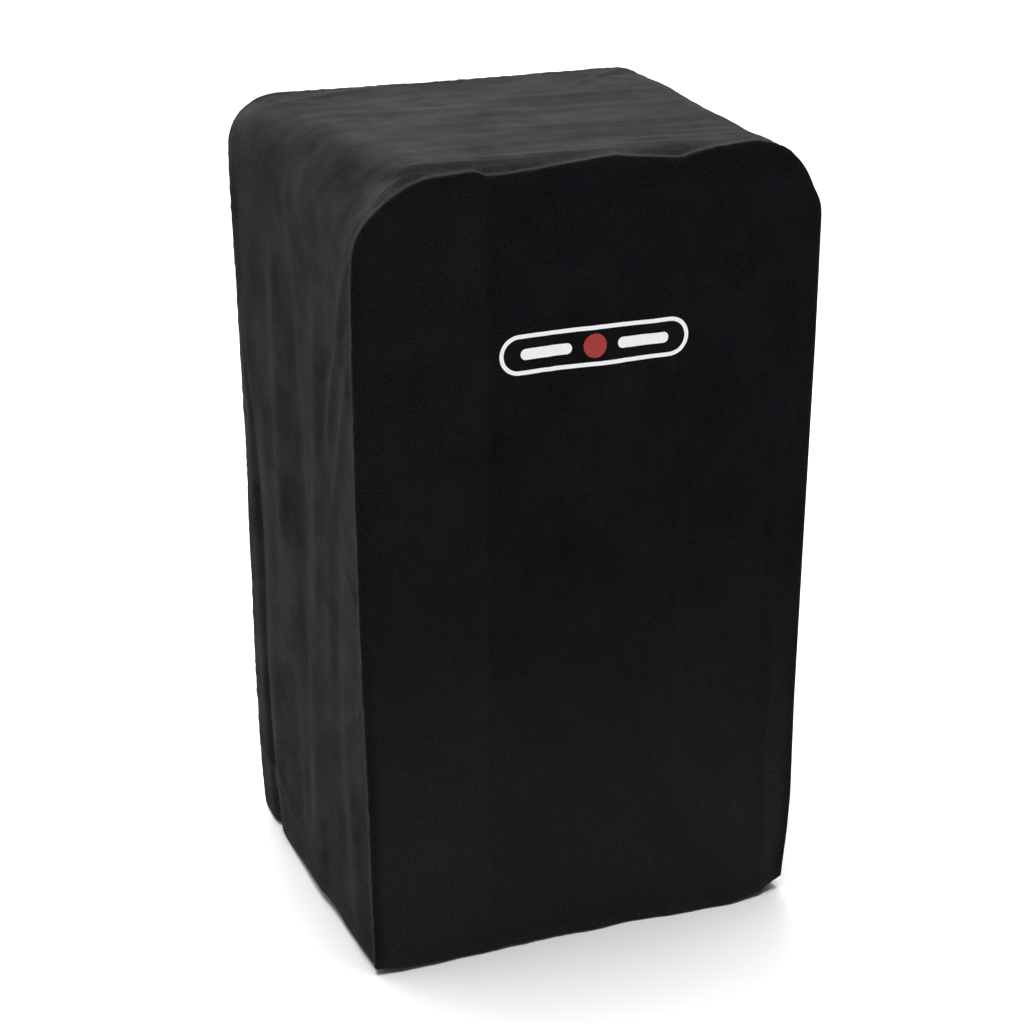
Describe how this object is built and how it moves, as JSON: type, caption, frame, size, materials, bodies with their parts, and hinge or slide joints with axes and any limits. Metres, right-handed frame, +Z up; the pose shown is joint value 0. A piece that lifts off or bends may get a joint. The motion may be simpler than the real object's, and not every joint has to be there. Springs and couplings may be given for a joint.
{
  "type": "electric cabinet smoker",
  "caption": "Upright electric cabinet smoker with front door, racks, heater, control panel and rear wheels, under a fitted lift-off fabric cover.",
  "frame": {"origin": "on the floor, under the middle of the cover", "axes": "+Z up; the front with the door and badge faces -Y; +X is to the right seen from the front"},
  "size_m": [0.484, 0.3983, 0.837],
  "materials": {
    "cover_fabric": "matt woven polyester",
    "badge_print": "screen print",
    "black_paint": "satin powder coat",
    "frame_paint": "matt powder coat",
    "stainless": "brushed",
    "aluminised": "matt rolled",
    "mineral_wool": "felted",
    "chromed_wire": "bright plate",
    "zinc_plate": "zinc plated",
    "heater_sheath": "heat-tinted",
    "terminal": "moulded ceramic and plated tabs",
    "enamel": "gloss enamel",
    "moulded_black": "fine-textured moulding",
    "gloss_black": "polished moulding",
    "lens": "clear tinted",
    "display": "lit panel",
    "circuit": "solder mask",
    "brass": "turned",
    "cable": "smooth sleeve",
    "rubber": "moulded",
    "gasket": "silicone bulb",
    "red_key": "moulded",
    "grey_key": "moulded",
    "bush": "turned nylon",
    "magnet": "sintered"
  },
  "bodies": {
    "cabinet": {"cabinet_shell": "black_paint", "back_panel": "black_paint", "base_pan": "black_paint", "front_frame": "frame_paint", "chamber_liner": "stainless", "cabinet_insulation": "mineral_wool", "rack_rails": "chromed_wire", "pan_shelf": "stainless", "heating_element": "heater_sheath", "element_terminals": "terminal", "chip_stand": "stainless", "temperature_sensor": "stainless", "wiring_harness": "cable", "power_inlet": "moulded_black", "wiring_cover": "frame_paint", "panel_screws": "zinc_plate", "vent_tube": "aluminised", "vent_plate": "frame_paint", "grip_cups": "moulded_black", "control_fascia": "gloss_black", "display_lens": "lens", "display_module": "display", "control_board": "circuit", "probe_jack": "brass", "hinge_brackets": "zinc_plate", "hinge_pins": "chromed_wire", "magnet_catches": "magnet", "front_legs": "black_paint", "rubber_feet": "rubber", "wheel_brackets": "zinc_plate", "rear_axle": "zinc_plate", "tray_rails": "zinc_plate", "drain_spout": "aluminised"},
    "cover": {"cover_front_panel": "cover_fabric", "cover_back_panel": "cover_fabric", "cover_gusset": "cover_fabric", "cover_badge": "badge_print"},
    "door": {"door_skin": "black_paint", "door_liner": "stainless", "door_insulation": "mineral_wool", "door_gasket": "gasket", "door_pull": "moulded_black", "hinge_bushes": "bush", "strike_plates": "zinc_plate"},
    "damper": {"damper_disc": "aluminised"},
    "chip_box": {"chip_box": "stainless", "chip_lid_pin": "chromed_wire"},
    "chip_lid": {"chip_lid": "stainless"},
    "water_pan": {"water_pan": "enamel"},
    "grease_tray": {"grease_tray": "aluminised"},
    "rack_1": {"rack_1": "chromed_wire"},
    "rack_2": {"rack_2": "chromed_wire"},
    "rack_3": {"rack_3": "chromed_wire"},
    "rack_4": {"rack_4": "chromed_wire"},
    "button_power": {"button_power": "red_key"},
    "button_up": {"button_up": "grey_key"},
    "button_down": {"button_down": "grey_key"},
    "wheel_left": {"wheel_left": "moulded_black"},
    "wheel_right": {"wheel_right": "moulded_black"}
  },
  "joints": [
    {"name": "cover_lift", "type": "slide", "parent": "cabinet", "child": "cover", "axis": [0, 0, 1], "range_m": [0, 0.9]},
    {"name": "door_swing", "type": "hinge", "parent": "cabinet", "child": "door", "pos_m": [0.214, -0.166, 0.4], "axis": [0, 0, 1], "range_deg": [0, 115], "deforming": ["cover_front_panel", "cover_back_panel", "cover_gusset", "cover_badge"]},
    {"name": "damper_turn", "type": "hinge", "parent": "cabinet", "child": "damper", "pos_m": [-0.12, 0.186, 0.665], "axis": [0, 1, 0], "range_deg": [0, 60]},
    {"name": "chip_box_slide", "type": "slide", "parent": "cabinet", "child": "chip_box", "axis": [0, -1, 0], "range_m": [0, 0.05]},
    {"name": "chip_lid_tilt", "type": "hinge", "parent": "chip_box", "child": "chip_lid", "pos_m": [-0.06, 0, 0.1826], "axis": [0, -1, 0], "range_deg": [0, 25]},
    {"name": "water_pan_lift", "type": "slide", "parent": "cabinet", "child": "water_pan", "axis": [0, 0, 1], "range_m": [0, 0.03]},
    {"name": "grease_tray_slide", "type": "slide", "parent": "cabinet", "child": "grease_tray", "axis": [0, -1, 0], "range_m": [0, 0.012]},
    {"name": "rack_1_slide", "type": "slide", "parent": "cabinet", "child": "rack_1", "axis": [0, -1, 0], "range_m": [0, 0.015]},
    {"name": "rack_2_slide", "type": "slide", "parent": "cabinet", "child": "rack_2", "axis": [0, -1, 0], "range_m": [0, 0.015]},
    {"name": "rack_3_slide", "type": "slide", "parent": "cabinet", "child": "rack_3", "axis": [0, -1, 0], "range_m": [0, 0.015]},
    {"name": "rack_4_slide", "type": "slide", "parent": "cabinet", "child": "rack_4", "axis": [0, -1, 0], "range_m": [0, 0.015]},
    {"name": "button_power_press", "type": "slide", "parent": "cabinet", "child": "button_power", "axis": [0, 1, 0], "range_m": [0, 0.0012], "stiffness_N_per_m": 400, "springref_m": -0.001},
    {"name": "button_up_press", "type": "slide", "parent": "cabinet", "child": "button_up", "axis": [0, 1, 0], "range_m": [0, 0.0012], "stiffness_N_per_m": 400, "springref_m": -0.001},
    {"name": "button_down_press", "type": "slide", "parent": "cabinet", "child": "button_down", "axis": [0, 1, 0], "range_m": [0, 0.0012], "stiffness_N_per_m": 400, "springref_m": -0.001},
    {"name": "wheel_left_spin", "type": "hinge", "parent": "cabinet", "child": "wheel_left", "pos_m": [-0.188, 0.14, 0.032], "axis": [1, 0, 0], "continuous": true},
    {"name": "wheel_right_spin", "type": "hinge", "parent": "cabinet", "child": "wheel_right", "pos_m": [0.188, 0.14, 0.032], "axis": [1, 0, 0], "continuous": true}
  ]
}
